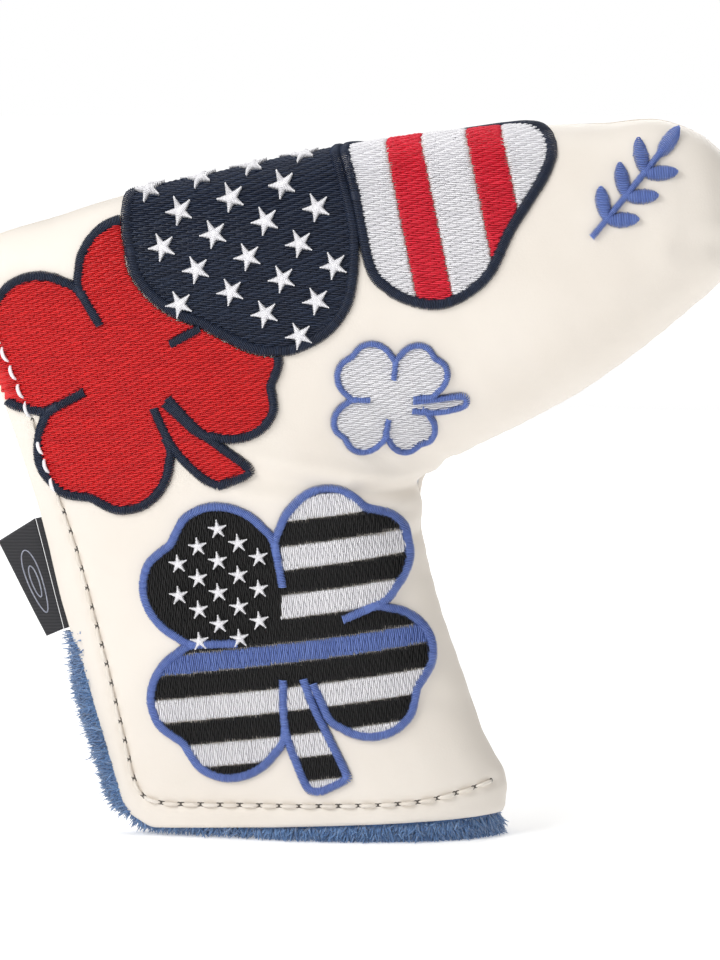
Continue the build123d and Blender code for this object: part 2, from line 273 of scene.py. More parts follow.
def border_loop(rows, columns):
    """The numbers of a grid's border points, once round."""
    i = np.arange(rows * columns).reshape(rows, columns)
    return np.concatenate([i[0, :-1], i[:-1, -1], i[-1, :0:-1], i[:0:-1, 0]])


# ------------------------------------------------------------------ materials

WEAVE_SCALE = 2600 / 6


def node_material(name):
    material = bpy.data.materials.new(name)
    material.use_nodes = True
    nodes, links = material.node_tree.nodes, material.node_tree.links
    return material, nodes, links, nodes["Principled BSDF"]


def noise(nodes, links, scale, detail, coordinates):
    node = nodes.new("ShaderNodeTexNoise")
    node.inputs["Scale"].default_value = scale
    node.inputs["Detail"].default_value = detail
    links.new(coordinates, node.inputs["Vector"])
    return node


def ramp(nodes, links, source, shader, low, high, start=0.3, end=0.7):
    """A base colour that goes from low to high as the source goes from start to end."""
    node = nodes.new("ShaderNodeValToRGB")
    node.color_ramp.elements[0].position, node.color_ramp.elements[1].position = start, end
    node.color_ramp.elements[0].color, node.color_ramp.elements[1].color = (*low, 1), (*high, 1)
    links.new(source, node.inputs["Fac"])
    links.new(node.outputs["Color"], shader.inputs["Base Color"])


def bump(nodes, links, height, strength, distance, after=None):
    node = nodes.new("ShaderNodeBump")
    node.inputs["Strength"].default_value = strength
    node.inputs["Distance"].default_value = distance
    links.new(height, node.inputs["Height"])
    if after is not None:
        links.new(after.outputs["Normal"], node.inputs["Normal"])
    return node


def leather_material():
    material, nodes, links, shader = node_material("cream_leather")
    where = nodes.new("ShaderNodeTexCoord").outputs["Object"]
    clouds = noise(nodes, links, 28, 3, where)
    ramp(nodes, links, clouds.outputs["Fac"], shader, (0.80, 0.735, 0.655), (0.86, 0.80, 0.725))
    grain = nodes.new("ShaderNodeTexVoronoi")
    grain.feature = "DISTANCE_TO_EDGE"
    grain.inputs["Scale"].default_value = 1150
    grain.inputs["Randomness"].default_value = 0.95
    links.new(where, grain.inputs["Vector"])
    fine = noise(nodes, links, 2300, 2, where)
    soft = noise(nodes, links, 190, 3, where)
    first = bump(nodes, links, soft.outputs["Fac"], 0.25, 0.00035)
    second = bump(nodes, links, grain.outputs["Distance"], 0.35, 0.00007, first)
    third = bump(nodes, links, fine.outputs["Fac"], 0.25, 0.00004, second)
    links.new(third.outputs["Normal"], shader.inputs["Normal"])
    rough = nodes.new("ShaderNodeMapRange")
    rough.inputs["To Min"].default_value, rough.inputs["To Max"].default_value = 0.42, 0.56
    links.new(soft.outputs["Fac"], rough.inputs["Value"])
    links.new(rough.outputs["Result"], shader.inputs["Roughness"])
    shader.inputs["Specular IOR Level"].default_value = 0.42
    return material


def thread_material(name, dark, light, roughness=0.42, sheen=0.25):
    """Embroidery thread: each strand a slightly different shade, with fine twist."""
    material, nodes, links, shader = node_material(name)
    strand = nodes.new("ShaderNodeNewGeometry").outputs["Random Per Island"]
    where = nodes.new("ShaderNodeTexCoord").outputs["Object"]
    ramp(nodes, links, strand, shader, dark, light, 0.0, 1.0)
    twist = noise(nodes, links, 5200, 2, where)
    turned = bump(nodes, links, twist.outputs["Fac"], 0.5, 0.00005)
    links.new(turned.outputs["Normal"], shader.inputs["Normal"])
    shader.inputs["Roughness"].default_value = roughness
    shader.inputs["Sheen Weight"].default_value = sheen
    shader.inputs["Sheen Roughness"].default_value = 0.4
    return material


def plush_material(name, dark, light, backing=False):
    material, nodes, links, shader = node_material(name)
    where = nodes.new("ShaderNodeTexCoord").outputs["Object"]
    fuzz = noise(nodes, links, 2600, 3, where)
    strand = nodes.new("ShaderNodeNewGeometry").outputs["Random Per Island"]
    if backing:
        ramp(nodes, links, fuzz.outputs["Fac"], shader, dark, light)
    else:
        ramp(nodes, links, strand, shader, dark, light, 0.0, 1.0)
    turned = bump(nodes, links, fuzz.outputs["Fac"], 0.8, 0.0002)
    links.new(turned.outputs["Normal"], shader.inputs["Normal"])
    shader.inputs["Roughness"].default_value = 0.9
    shader.inputs["Sheen Weight"].default_value = 0.6
    shader.inputs["Sheen Roughness"].default_value = 0.5
    return material


def woven_material(name, dark, light):
    material, nodes, links, shader = node_material(name)
    where = nodes.new("ShaderNodeTexCoord").outputs["Object"]
    waves = nodes.new("ShaderNodeTexWave")
    waves.inputs["Scale"].default_value = WEAVE_SCALE
    waves.inputs["Distortion"].default_value = 0.6
    waves.bands_direction = "Z"
    links.new(where, waves.inputs["Vector"])
    ramp(nodes, links, waves.outputs["Fac"], shader, dark, light, 0.2, 0.9)
    turned = bump(nodes, links, waves.outputs["Fac"], 0.6, 0.00008)
    links.new(turned.outputs["Normal"], shader.inputs["Normal"])
    shader.inputs["Roughness"].default_value = 0.55
    shader.inputs["Sheen Weight"].default_value = 0.3
    return material


LEATHER_LOOK = leather_material()
RED = thread_material("red_thread", (0.62, 0.006, 0.010), (0.76, 0.014, 0.016), 0.5, 0.02)
STRIPE_RED = thread_material("stripe_red_thread", (0.68, 0.008, 0.030), (0.84, 0.018, 0.050), 0.5, 0.02)
NAVY = thread_material("navy_thread", (0.006, 0.012, 0.034), (0.013, 0.025, 0.060), 0.5, 0.03)
WHITE = thread_material("white_thread", (0.86, 0.85, 0.88), (0.95, 0.94, 0.96), 0.45, 0.2)
BLUE = thread_material("periwinkle_thread", (0.115, 0.185, 0.50), (0.165, 0.25, 0.60), 0.45, 0.1)
BLACK = thread_material("black_thread", (0.004, 0.004, 0.004), (0.010, 0.009, 0.009), 0.55, 0.02)
CREAM_THREAD = thread_material("cream_thread", (0.78, 0.71, 0.62), (0.84, 0.78, 0.70), 0.5)
PLUSH = plush_material("blue_plush", (0.075, 0.17, 0.38), (0.20, 0.35, 0.62))
# The lining's backing is painted darker than the pile, as painted shade between the tufts.
SHADED_BACKING = plush_material("plush_backing_painted_shade", (0.035, 0.085, 0.20), (0.075, 0.16, 0.34), backing=True)
# The needle holes' dark colour is painted shade inside the holes.
HOLE_SHADE = woven_material("shaded_needle_hole", (0.06, 0.05, 0.04), (0.10, 0.085, 0.07))
LABEL_BLACK = woven_material("label_satin", (0.010, 0.010, 0.013), (0.022, 0.022, 0.027))
LABEL_GREY = thread_material("label_grey", (0.34, 0.36, 0.46), (0.48, 0.50, 0.60))

# ------------------------------------------------------------------ artwork, in the front's own plane

# Across the crown the plane goes on unrolled, so what lies above the ridge wraps over to the back.
# Each clover: its centre, then each leaf's two edge directions (degrees) and its reach.
RED_CLOVER = ((-48.9, 106.2), [(29, 122, 34.2), (122, 209.5, 34.0), (209.5, 299, 33.4), (318, 389, 35.2)])
FLAG_CLOVER = (
    (-12.1, 45.6), [(100.6, 183.4, 37.6), (23, 100.6, 36.6), (-65.6, 23, 32.4), (183.4, 265, 37.4)],
)
SMALL_CLOVER = ((9.8, 99.4), [(84.4, 179, 14.6), (5.4, 84.4, 15.0), (-100, -16, 13.2), (179, 259.8, 15.0)])
# A leaf's outline: how far round from one edge to the other, and its share of the reach.
LEAF = [
    (0.0, 0.64), (0.035, 0.72), (0.09, 0.81), (0.17, 0.90), (0.26, 0.965), (0.36, 0.99), (0.44, 0.965),
    (0.5, 0.945), (0.56, 0.965), (0.64, 0.99), (0.74, 0.965), (0.83, 0.90), (0.91, 0.81), (0.965, 0.72),
    (1.0, 0.64),
]
FIELD_INSET = 0.7  # a fill ends this far inside its outline, under the border
SLIT_START = 0.33  # where a slit between leaves starts, as a share of the leaf's reach
RED_STEM = ([(-42.8, 97.3), (-38.5, 88.6), (-32.5, 82.4), (-28.5, 80.3)],
            [(-28.5, 80.3), (-22.6, 82.6), (-22.2, 84.6), (-28.0, 88.8), (-33.8, 93.4), (-39.8, 99.8)])
FLAG_STEM = ([(-14.3, 36.6), (-13.8, 25.7), (-11.0, 17.3), (-8.6, 12.2), (-5.9, 11.6)],
             [(-5.9, 11.6), (-0.6, 14.3), (-0.4, 15.9), (-3.6, 22.7), (-7.4, 30.5), (-9.8, 37.0)])
SMALL_STEM = (
    [(14.7, 99.2), (19.6, 99.7), (25.3, 100.4), (26.3, 99.1), (25.1, 97.9), (19.7, 96.8), (14.1, 97.1)],
)

STAR_PETAL = [
    (-49.4, 132.0), (-48.0, 126.4), (-43.6, 121.0), (-38.4, 117.4), (-32.7, 115.2), (-26.4, 112.0),
    (-21.5, 109.8), (-16.3, 109.0), (-10.8, 109.8), (-4.0, 113.5), (0.6, 119.3), (2.4, 126.5), (2.6, 137.0),
    (0.6, 146.0), (-2.0, 155.0), (-6.5, 164.5), (-17.0, 170.0), (-31.0, 168.0), (-42.0, 160.0),
    (-48.5, 149.5), (-50.4, 140.0),
]
STRIPE_PETAL = [
    (0.4, 144.5), (3.9, 128.5), (8.2, 123.2), (13.2, 120.5), (19.2, 119.4), (24.4, 120.6), (29.6, 123.9),
    (33.2, 128.2), (36.8, 136.0), (41.0, 142.6), (44.9, 149.0), (46.6, 154.5), (44.8, 159.5), (39.5, 163.5),
    (30.0, 167.0), (16.0, 168.5), (2.0, 166.0), (-3.0, 160.0),
]
PETAL_BORDER, CLOVER_BORDER, FLAG_BORDER, SMALL_BORDER = 2.6, 2.3, 2.1, 1.5
BAND = ((-14.7, 42.6), 7.5, 4.7)  # a point on the flag clover's band, its tilt and its width
STRIPE = 5.36  # width of the flag clover's stripes
STRIPE_PETAL_TILT = 11.5
RED_STRIPES = [(12.3, 156.4, 8.1), (30.2, 158.2, 8.1)]  # a point on each stripe's middle, and its width


def polar(centre, turn, reach):
    """The point at a distance from a centre, in a direction given in degrees."""
    a = radians(turn)
    return (centre[0] + reach * cos(a), centre[1] + reach * sin(a))


def leaf_line(centre, start, end, reach):
    """A leaf's outline from the root of one slit round to the end of the next."""
    points = [polar(centre, start, reach * s) for s in (SLIT_START, 0.48)]
    points += [polar(centre, start + (end - start) * f, reach * r) for f, r in LEAF]
    points.append(polar(centre, end, 0.53 * reach))
    return catmull(points)


def clover_region(clover, stems):
    """The clover's field as polygons: its leaves, its middle and its stem. It ends under the border."""
    centre, leaves = clover
    polygons = []
    for start, end, reach in leaves:
        rim = [polar(centre, start + (end - start) * f, reach * r - FIELD_INSET) for f, r in LEAF]
        polygons.append(np.vstack([[centre], catmull(rim, step=0.5)]))
    middle = 0.36 * max(reach for _, _, reach in leaves)
    polygons.append(np.array([polar(centre, a, middle) for a in range(0, 360, 15)]))
    if len(stems) > 1:
        polygons.append(np.vstack([catmull(side, step=0.5) for side in stems] + [[centre]]))
    else:
        polygons.append(catmull(stems[0], step=0.5))
    return polygons


def inside(polygons, points):
    """Which points lie in any of the polygons."""
    result = np.zeros(len(points), bool)
    for polygon in polygons:
        x, z = points[:, 0], points[:, 1]
        hit = np.zeros(len(points), bool)
        for (x0, z0), (x1, z1) in zip(polygon, np.roll(polygon, -1, axis=0)):
            if z0 == z1:
                continue
            crosses = (z0 > z) != (z1 > z)
            hit ^= crosses & (x < (x1 - x0) * (z - z0) / (z1 - z0) + x0)
        result |= hit
    return result


star_outline, stripe_outline = catmull(STAR_PETAL, True, 0.6), catmull(STRIPE_PETAL, True, 0.6)
red_polygons = clover_region(RED_CLOVER, RED_STEM)
flag_polygons = clover_region(FLAG_CLOVER, FLAG_STEM)
small_polygons = clover_region(SMALL_CLOVER, SMALL_STEM)


def in_star(p):
    return inside([star_outline], p)


def in_petals(p):
    return inside([star_outline, stripe_outline], p)


def in_red(p):
    return inside(red_polygons, p) & ~in_petals(p)


def in_flag(p):
    return inside(flag_polygons, p)


def in_small(p):
    return inside(small_polygons, p)


def petal_red(p):
    """Which points lie on the striped petal's red stripes."""
    lean = np.tan(radians(STRIPE_PETAL_TILT))
    found = np.zeros(len(p), bool)
    for x, z, width in RED_STRIPES:
        found |= np.abs(p[:, 0] - (x + (z - p[:, 1]) * lean)) < width / 2
    return found


def band_offset(p):
    """How far each point lies above the middle of the flag clover's band."""
    (x, z), tilt, _ = BAND
    a = radians(tilt)
    return -(p[:, 0] - x) * sin(a) + (p[:, 1] - z) * cos(a)


def flag_part(p):
    """0 for a dark stripe or the star quarter, 1 for a white stripe, 2 for the band."""
    q, half = band_offset(p), BAND[2] / 2
    part = (np.floor((np.abs(q) - half) / STRIPE).astype(int) % 2 == 1).astype(int)
    part[(p[:, 0] < BAND[0][0]) & (q > half)] = 0
    part[np.abs(q) <= half] = 2
    return part


# ------------------------------------------------------------------ the leather, flat and then worked

ALONG, ACROSS = grid_parameters(ROWS, COLUMNS)
EDGE = np.clip(hermite(table, KNOTS, ALONG)[:, 5], 0, 1)
SOLID_ENDS = (ACROSS == 0) | ((ACROSS == 1) & (EDGE < 0.05))  # the seam and the crown, where the halves meet
smooth_front = trimmed(half_surface(ALONG, ACROSS), ROWS, COLUMNS)
front_normals = grid_normals(smooth_front, ROWS, COLUMNS)

TOPSTITCH = [
    (-82.6, 123.0), (-77.3, 110.5), (-72.2, 98.0), (-66.0, 79.5), (-60.5, 63.0), (-54.6, 40.0), (-49.9, 20.0),
    (-48.5, 13.5), (-46.3, 9.2), (-42.0, 7.7), (-34.0, 7.7), (-22.0, 8.0), (-6.0, 8.2), (14.0, 9.0),
    (24.4, 10.9), (33.0, 13.2),
]
# Each crease: its line, its depth and its width.
CREASES = [
    ([(19.5, 80.5), (12.0, 78.6), (3.0, 78.8)], 0.75, 1.5),
    ([(18.0, 76.5), (10.5, 74.0), (4.0, 75.0)], 0.6, 1.7),
    ([(24.0, 84.0), (18.5, 87.0), (14.0, 88.5)], 0.35, 1.6),
    ([(17.5, 69.5), (9.5, 67.5), (2.0, 69.0)], 0.4, 2.2),
    ([(-22.0, 82.5), (-6.0, 79.8), (7.0, 78.2), (17.0, 79.5)], 0.85, 2.0),
    ([(29.0, 30.0), (19.0, 31.5), (8.0, 29.5)], 0.22, 2.6),
    ([(86.0, 131.0), (80.0, 134.0), (74.0, 133.0)], 0.3, 2.0),
]
SEAM_GROOVE, SEAM_WIDTH = 0.5, 1.4
PUCKER, PUCKER_PITCH, PUCKER_REACH = 0.09, 6.5, 5.0
CHANNEL, CHANNEL_WIDTH = 0.55, 1.3


def worked(points, normals, front):
    """The leather's displacement: soft waves, creases, the stitch channel and the puckered seam."""
    xz = points[:, [0, 2]]
    lift = 0.28 * ripple(points, 26.0, 3 if front else 4) + 0.10 * ripple(points, 8.0, 5 if front else 6)
    lift -= CHANNEL * np.exp(-((distance_to(catmull(TOPSTITCH, step=1.5), xz) / CHANNEL_WIDTH) ** 2))
    if front:
        for line, depth, width in CREASES:
            away = distance_to(catmull(line, step=1.5), xz)
            beside = np.exp(-(((away - 2.2 * width) / width) ** 2))
            lift += depth * (0.5 * beside - np.exp(-((away / width) ** 2)))
    grid = points.reshape(ROWS, COLUMNS, 3)
    arc = np.cumsum(np.linalg.norm(np.diff(grid, axis=1, prepend=grid[:, :1]), axis=-1), axis=1).ravel()
    lift -= SEAM_GROOVE * np.exp(-((arc / SEAM_WIDTH) ** 2))
    waves = np.sin(2 * pi * ALONG / PUCKER_PITCH + 2.0 * np.sin(ALONG / 9.0))
    lift += PUCKER * waves * np.exp(-arc / PUCKER_REACH) * (1 - np.exp(-((arc / SEAM_WIDTH) ** 2)))
    moved = points + normals * lift[:, None]
    moved[SOLID_ENDS, 1] = 0.0
    return moved


front_skin = worked(smooth_front, front_normals, True)
back_skin = worked(smooth_front, front_normals, False)
front_out = grid_normals(front_skin, ROWS, COLUMNS)
back_out = grid_normals(back_skin, ROWS, COLUMNS)
MIRROR = np.array([1.0, -1.0, 1.0])


def art_positions():
    """Where each point of the front's grid lies in the artwork's plane, and the same for the back."""
    grid = smooth_front.reshape(ROWS, COLUMNS, 3)
    flat = grid[:, :, [0, 2]]
    steps = np.linalg.norm(np.diff(flat, axis=1), axis=-1)
    arcs = np.linalg.norm(np.diff(grid, axis=1), axis=-1)
    closed = 1 - EDGE.reshape(ROWS, COLUMNS)[:, :1]
    half_way = COLUMNS // 2
    stretched = np.maximum(steps, 0.5 * closed * arcs)
    stretched[:, :half_way] = steps[:, :half_way]
    extra = np.cumsum(stretched - steps, axis=1)
    extra = np.hstack([np.zeros((ROWS, 1)), extra])
    unit = normalised(flat[:, -1:] - flat[:, :1])
    art = flat + unit * extra[..., None]
    beyond = np.cumsum(np.maximum(steps, closed * arcs)[:, ::-1], axis=1)[:, ::-1]
    beyond = np.hstack([beyond, np.zeros((ROWS, 1))])
    back = art[:, -1:] + unit * beyond[..., None]
    return art, back


def surface_lattice(step=0.6):
    """Points and normals of the leather over a square lattice of the artwork's plane."""
    art_front, art_back = art_positions()
    closed = EDGE.reshape(ROWS, COLUMNS)[:, 0] < 0.3
    first, start = int(np.argmax(closed)), COLUMNS // 2
    flat = [art_front.reshape(-1, 2), art_back[first:, start:].reshape(-1, 2)]
    points = [front_skin, (back_skin * MIRROR).reshape(ROWS, COLUMNS, 3)[first:, start:].reshape(-1, 3)]
    normals = [front_out, (back_out * MIRROR).reshape(ROWS, COLUMNS, 3)[first:, start:].reshape(-1, 3)]
    quads = [grid_quads(ROWS, COLUMNS), grid_quads(ROWS - first, COLUMNS - start) + ROWS * COLUMNS]
    flat, points, normals = np.vstack(flat), np.vstack(points), np.vstack(normals)
    quads = np.vstack(quads)
    corners = np.vstack([quads[:, [0, 1, 2]], quads[:, [0, 2, 3]]])
    tree = BVHTree.FromPolygons(np.column_stack([flat, np.zeros(len(flat))]).tolist(), corners.tolist())
    low, high = flat.min(axis=0) - step, flat.max(axis=0) + step
    us, vs = np.arange(low[0], high[0], step), np.arange(low[1], high[1], step)
    found = np.full((len(us), len(vs)), -1)
    down = Vector((0, 0, -1))
    for i, u in enumerate(us):
        for j, v in enumerate(vs):
            hit = tree.ray_cast(Vector((u, v, 1.0)), down)
            if hit[2] is not None:
                found[i, j] = hit[2]
    hits = found >= 0
    a, b, c = (flat[corners[found[hits], k]] for k in range(3))
    grid_u, grid_v = np.meshgrid(us, vs, indexing="ij")
    p = np.column_stack([grid_u[hits], grid_v[hits]])
    area = (b[:, 0] - a[:, 0]) * (c[:, 1] - a[:, 1]) - (b[:, 1] - a[:, 1]) * (c[:, 0] - a[:, 0])
    area = np.where(np.abs(area) < 1e-12, 1e-12, area)
    wb = ((p[:, 0] - a[:, 0]) * (c[:, 1] - a[:, 1]) - (p[:, 1] - a[:, 1]) * (c[:, 0] - a[:, 0])) / area
    wc = ((b[:, 0] - a[:, 0]) * (p[:, 1] - a[:, 1]) - (b[:, 1] - a[:, 1]) * (p[:, 0] - a[:, 0])) / area
    weights = np.column_stack([1 - wb - wc, wb, wc])
    place = np.full((*found.shape, 3), np.nan)
    facing = np.full((*found.shape, 3), np.nan)
    place[hits] = sum(weights[:, k : k + 1] * points[corners[found[hits], k]] for k in range(3))
    facing[hits] = sum(weights[:, k : k + 1] * normals[corners[found[hits], k]] for k in range(3))
    return low, step, place, facing


LOW, STEP, PLACE, FACING = surface_lattice()


def on_leather(art):
    """Points and unit normals of the leather at positions in the artwork's plane; NaN where there is none."""
    at = (np.asarray(art, float) - LOW) / STEP
    cell = np.floor(at).astype(int)
    cell = np.clip(cell, 0, np.array(PLACE.shape[:2]) - 2)
    u, v = (at - cell)[..., 0:1], (at - cell)[..., 1:2]
    i, j = cell[..., 0], cell[..., 1]

    def mix(values):
        low_side = values[i, j] * (1 - u) + values[i + 1, j] * u
        high_side = values[i, j + 1] * (1 - u) + values[i + 1, j + 1] * u
        return low_side * (1 - v) + high_side * v

    return mix(PLACE), normalised(mix(FACING))


# ------------------------------------------------------------------ threads


def tubes(centres, normals, radii, sides=3, flat=0.8):
    """Closed thin tubes. centres and normals are (tubes, rings, 3), radii (rings,) or (tubes, rings)."""
    count, rings = centres.shape[:2]
    along = normalised(np.gradient(centres, axis=1))
    across = normalised(np.cross(along, normals))
    up = np.cross(across, along)
    radii = np.broadcast_to(radii, (count, rings))[..., None]
    verts = []
    for k in range(sides):
        turn = pi / 2 + 2 * pi * k / sides
        verts.append(centres + across * radii * cos(turn) + up * radii * sin(turn) * flat)
    verts = np.stack(verts, axis=2).reshape(-1, 3)
    base = (np.arange(count) * rings * sides)[:, None, None]
    ring = (np.arange(rings - 1) * sides)[None, :, None]
    k = np.arange(sides)[None, None, :]
    a, b = base + ring + k, base + ring + (k + 1) % sides
    quads = np.stack([a, b, b + sides, a + sides], axis=-1).reshape(-1, 4)
    starts = np.arange(count) * rings * sides
    ends = starts + (rings - 1) * sides
    caps = np.vstack([np.stack([starts + 2, starts + 1, starts], 1), np.stack([ends, ends + 1, ends + 2], 1)])
    return verts, quads, caps


def stitches(starts, ends, radius, top, low=0.25, rings=(0, 0.13, 0.5, 0.87, 1), thin=0.45):
    """Straight stitches on the leather from art positions starts to ends, arched up to top."""
    at = np.array(rings)[None, :, None]
    art = starts[:, None] * (1 - at) + ends[:, None] * at
    place, normal = on_leather(art)
    rise = 1 - (np.abs(2 * at - 1)) ** 3
    height = low * top + (1 - low) * top * rise
    centres = place + normal * height
    good = ~np.isnan(centres).any(axis=(1, 2))
    rings_radius = radius * (thin + (1 - thin) * (1 - np.abs(2 * np.array(rings) - 1) ** 4))
    return centres[good], normal[good], rings_radius


def fill_lines(mask, box, angle, stitch, seed):
    """A fill's stitches: rows in the angle's direction, split into stitches that step from row to row."""
    local = np.random.default_rng(seed)
    a = radians(angle)
    along, across = np.array([cos(a), sin(a)]), np.array([-sin(a), cos(a)])
    corners = np.array([(box[0], box[1]), (box[2], box[1]), (box[2], box[3]), (box[0], box[3])], float)
    s0, s1 = (corners @ along).min(), (corners @ along).max()
    t0, t1 = (corners @ across).min(), (corners @ across).max()
    rows, grain = np.arange(t0, t1, THREAD), 0.3
    steps = np.arange(s0, s1, grain)
    t, s = np.meshgrid(rows, steps, indexing="ij")
    points = s[..., None] * along + t[..., None] * across
    hit = mask(points.reshape(-1, 2)).reshape(t.shape)
    starts, ends = [], []
    for row in range(len(rows)):
        edges = np.flatnonzero(np.diff(np.concatenate([[0], hit[row].astype(int), [0]])))
        shift = ((row * 0.34) % 1.0) * stitch
        for first, last in zip(edges[::2], edges[1::2]):
            low, high = steps[first] - grain / 2, steps[last - 1] + grain / 2
            if high - low < 0.5:
                continue
            cuts = np.arange(low - (low % stitch) + shift - stitch, high, stitch)
            cuts = cuts[(cuts > low + 0.9) & (cuts < high - 0.9)]
            cuts = cuts + local.normal(0, 0.12, len(cuts))
            stops = np.concatenate([[low], cuts, [high]])
            base = rows[row] * across
            starts += [base + along * v for v in stops[:-1]]
            ends += [base + along * v for v in stops[1:]]
    wobble = 0.04
    starts = np.array(starts) + local.normal(0, wobble, (len(starts), 2))
    ends = np.array(ends) + local.normal(0, wobble, (len(ends), 2))
    return starts, ends


def underlay(mask, box, height=0.22, step=0.8):
    """A thin sheet of the thread's colour under a fill."""
    us, vs = np.arange(box[0], box[2], step), np.arange(box[1], box[3], step)
    u, v = np.meshgrid(us, vs, indexing="ij")
    art = np.stack([u, v], axis=-1)
    place, normal = on_leather(art)
    good = mask(art.reshape(-1, 2)).reshape(u.shape) & ~np.isnan(place).any(axis=-1)
    verts = (place + normal * height).reshape(-1, 3)
    quads = grid_quads(len(us), len(vs))
    quads = quads[good.ravel()[quads].all(axis=1)]
    used, packed = np.unique(quads, return_inverse=True)
    return verts[used], packed.reshape(-1, 4), NO_TRIS


def joined(parts):
    """One mesh's arrays from several (verts, quads, tris)."""
    verts, quads, tris, offset = [], [], [], 0
    for v, q, t in parts:
        verts.append(v)
        quads.append(np.asarray(q, int).reshape(-1, 4) + offset)
        tris.append(np.asarray(t, int).reshape(-1, 3) + offset)
        offset += len(v)
    return np.vstack(verts), np.vstack(quads), np.vstack(tris)


def fill(mask, box, angle, seed, stitch=STITCH):
    """An area's underlay and its stitches."""
    starts, ends = fill_lines(mask, box, angle, stitch, seed)
    centres, normals, radii = stitches(starts, ends, THREAD * 0.62, FILL_TOP)
    return [underlay(mask, box), tubes(centres, normals, radii)]


def satin_lines(path, width, keep, seed):
    """Stitches across a line drawn in the artwork's plane. width is a number or a function of 0 to 1."""
    local = np.random.default_rng(seed)
    path = np.asarray(path, float)
    lengths = lengths_along(path)
    at = np.arange(0, lengths[-1], SATIN_PITCH)
    middle = points_at(path, lengths, at)
    towards = normalised(points_at(path, lengths, at + 0.7) - points_at(path, lengths, at - 0.7))
    side = np.column_stack([-towards[:, 1], towards[:, 0]]) + towards * SATIN_SLANT
    size = width(at / lengths[-1]) if callable(width) else np.full(len(at), width)
    half = (size / 2 * (1 + local.normal(0, 0.035, len(at))))[:, None]
    starts, ends = middle - side * half, middle + side * half
    if keep is not None:
        kept = keep(middle)
        starts, ends = starts[kept], ends[kept]
    return starts, ends


def satin(path, width, keep=None, seed=1):
    """A raised line of satin stitches, kept where keep says so."""
    starts, ends = satin_lines(path, width, keep, seed)
    if not len(starts):
        return []
    centres, normals, radii = stitches(
        starts, ends, SATIN_PITCH * 0.66, BORDER_TOP, low=0.15, rings=(0, 0.16, 0.38, 0.62, 0.84, 1), thin=0.5
    )
    return [tubes(centres, normals, radii)]


# ------------------------------------------------------------------ placing a piece

fold = np.array([FOLD_FOOT[0] - FOLD_TOP[0], FOLD_FOOT[1] - FOLD_TOP[1]])
fold /= np.linalg.norm(fold)
into_leaf = np.array([fold[1], -fold[0]])
into_leaf *= -1 if into_leaf[0] > 0 else 1


def place_piece(name, parts, material, leaf=None):
    """A piece that rides on the cover; when a leaf is given it stays unattached, with its transform baked
    into its mesh.
    """
    verts, quads, tris = joined(parts)
    piece = make_mesh(name, verts, quads, material, None if leaf else "cover", tris)
    if leaf:
        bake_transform(piece)
    return piece


# ------------------------------------------------------------------ leather and plush lining


def walls(outer, inner, rows=ROWS, columns=COLUMNS):
    """A closed shell between two grids of the same size."""
    count = rows * columns
    quads = [grid_quads(rows, columns), grid_quads(rows, columns, flip=True) + count]
    loop = border_loop(rows, columns)
    after = np.roll(loop, -1)
    quads.append(np.stack([after, loop, loop + count, after + count], axis=1))
    return np.vstack([outer, inner]), np.vstack(quads), NO_TRIS


def fade(value, low, high):
    """0 below low, 1 above high, and smooth between them."""
    t = np.clip((value - low) / (high - low), 0, 1)
    return t * t * (3 - 2 * t)


def inner_grid(depth):
    """The lining's front half at a depth below the leather's face. Low down it bulges past the heel edge."""
    points = half_surface(ALONG * (1 - (depth + TOE_ROOM) / KNOTS[-1]), ACROSS, depth)
    bulge = (depth + HEEL_BULGE) * fade(ACROSS, 0.82, 1.0) * (1 - fade(points[:, 2], 32.0, PILE_SHOWS_TO))
    points[:, 0] -= bulge
    return trimmed(points, ROWS, COLUMNS, level=True)


def rounded_rim(skin, normals, depth=0.45):
    """The leather's free edge rolls in a little, like a turned edge."""
    p = skin.reshape(ROWS, COLUMNS, 3).copy()
    n = normals.reshape(ROWS, COLUMNS, 3)
    open_row = EDGE.reshape(ROWS, COLUMNS)[:, :1] > 0.3
    for i, share in enumerate((1.0, 0.45, 0.12)):
        p[i] -= n[i] * depth * share
        column = -1 - i
        p[:, column] -= n[:, column] * depth * share * open_row
    return p.reshape(-1, 3)


for side, leaf, skin, out, flip in (
    ("front", "front_leaf", front_skin, front_out, np.ones(3)),
    ("back", "back_leaf", back_skin, back_out, MIRROR),
):
    face = rounded_rim(skin, out)
    under = face - out * LEATHER
    under[SOLID_ENDS, 1] = 0.0
    verts, quads, none = walls(face, under)
    leather = place_piece(f"{side}_leather", [(verts * flip, quads, none)], LEATHER_LOOK, leaf)
    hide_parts(f"{leaf}_shell")
    if side == "front":
        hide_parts("shell", "foam")
    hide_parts(f"{leaf}_foam")

    shallow = inner_grid(LEATHER + 0.1)
    deep = inner_grid(WALL)
    verts, quads, none = walls(shallow, deep)
    # The lining's backing carries the painted shade between the tufts.
    lining = place_piece(f"{side}_lining", [(verts * flip, quads, none)], SHADED_BACKING, leaf)
    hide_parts(f"{leaf}_plush_lining", *(f"{leaf}_magnet_{k}" for k in (1, 2, 3)))
    if side == "front":
        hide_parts("plush_lining")

# ------------------------------------------------------------------ tufts of the plush


def tufts(roots, directions, lengths, radius=0.34, seed=1):
    """Tapered, slightly bent tufts from root points along directions."""
    local = np.random.default_rng(seed)
    directions = normalised(directions)
    bend = local.normal(0, 0.45, directions.shape)
    at = np.array([0.0, 0.5, 1.0])[None, :, None]
    reached = directions[:, None] * at + bend[:, None] * at**2 * 0.5
    centres = roots[:, None] + lengths[:, None, None] * reached
    centres[..., 2] = np.maximum(centres[..., 2], 0.15)
    helper = np.broadcast_to(np.array([0.31, 0.52, 0.79]), centres.shape)
    radii = radius * np.array([1.0, 0.85, 0.22])[None, :] * local.uniform(0.75, 1.25, (len(roots), 1))
    return tubes(centres, helper, radii, flat=1.0)


